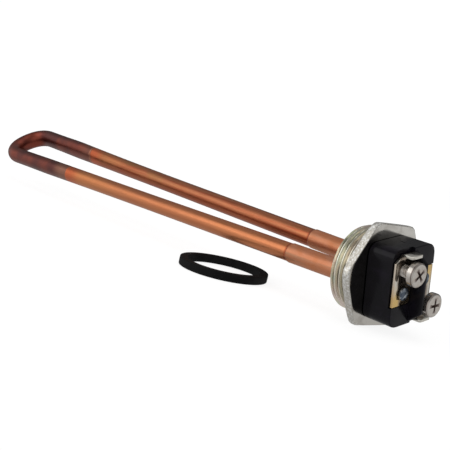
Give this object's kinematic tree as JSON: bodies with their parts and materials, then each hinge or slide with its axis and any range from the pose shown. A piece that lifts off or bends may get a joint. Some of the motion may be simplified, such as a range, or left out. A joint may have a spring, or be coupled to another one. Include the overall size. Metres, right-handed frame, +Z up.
{
  "type": "screw plug immersion heater",
  "caption": "Bent tubular copper heating element brazed into a hexagonal screw plug, with a moulded terminal block and screw terminals, and a flat gasket lying beside it.",
  "frame": {"origin": "middle of the seat where the gasket presses on the hexagon, on the thread's axis", "axes": "+X along the thread's axis from the bend of the element to the terminals, +Z up with the heater lying on one flat of its hexagon"},
  "size_m": [0.2824, 0.0551, 0.0382],
  "materials": {
    "zinc_plated_steel": "zinc plated and turned, satin",
    "copper": "drawn copper with heat tints",
    "magnesia": "packed powder",
    "nichrome": "drawn wire",
    "cold_pin_steel": "bright steel",
    "seal_silicone": "matte",
    "steatite": "unglazed",
    "braze_alloy": "as melted",
    "black_phenolic": "moulded, semi gloss",
    "plated_brass": "bright plated strip",
    "nickel_plate": "nickel plated, satin",
    "black_rubber": "moulded"
  },
  "bodies": {
    "heater": {"plug_body": "zinc_plated_steel", "heating_sheath": "copper", "magnesia_fill": "magnesia", "heating_coil": "nichrome", "terminal_block": "black_phenolic", "gasket": "black_rubber", "cold_pin_left": "cold_pin_steel", "end_seal_left": "seal_silicone", "insulating_bush_left": "steatite", "braze_fillet_left": "braze_alloy", "terminal_plate_left": "plated_brass", "cold_pin_right": "cold_pin_steel", "end_seal_right": "seal_silicone", "insulating_bush_right": "steatite", "braze_fillet_right": "braze_alloy", "terminal_plate_right": "plated_brass"},
    "screw_left": {"terminal_screw_left": "nickel_plate"},
    "screw_right": {"terminal_screw_right": "nickel_plate"}
  },
  "joints": [
    {"name": "clamp_left", "type": "slide", "parent": "heater", "child": "screw_left", "axis": [1, 0, 0], "range_m": [-0.0035, 0.004]},
    {"name": "clamp_right", "type": "slide", "parent": "heater", "child": "screw_right", "axis": [1, 0, 0], "range_m": [-0.0035, 0.004]}
  ]
}
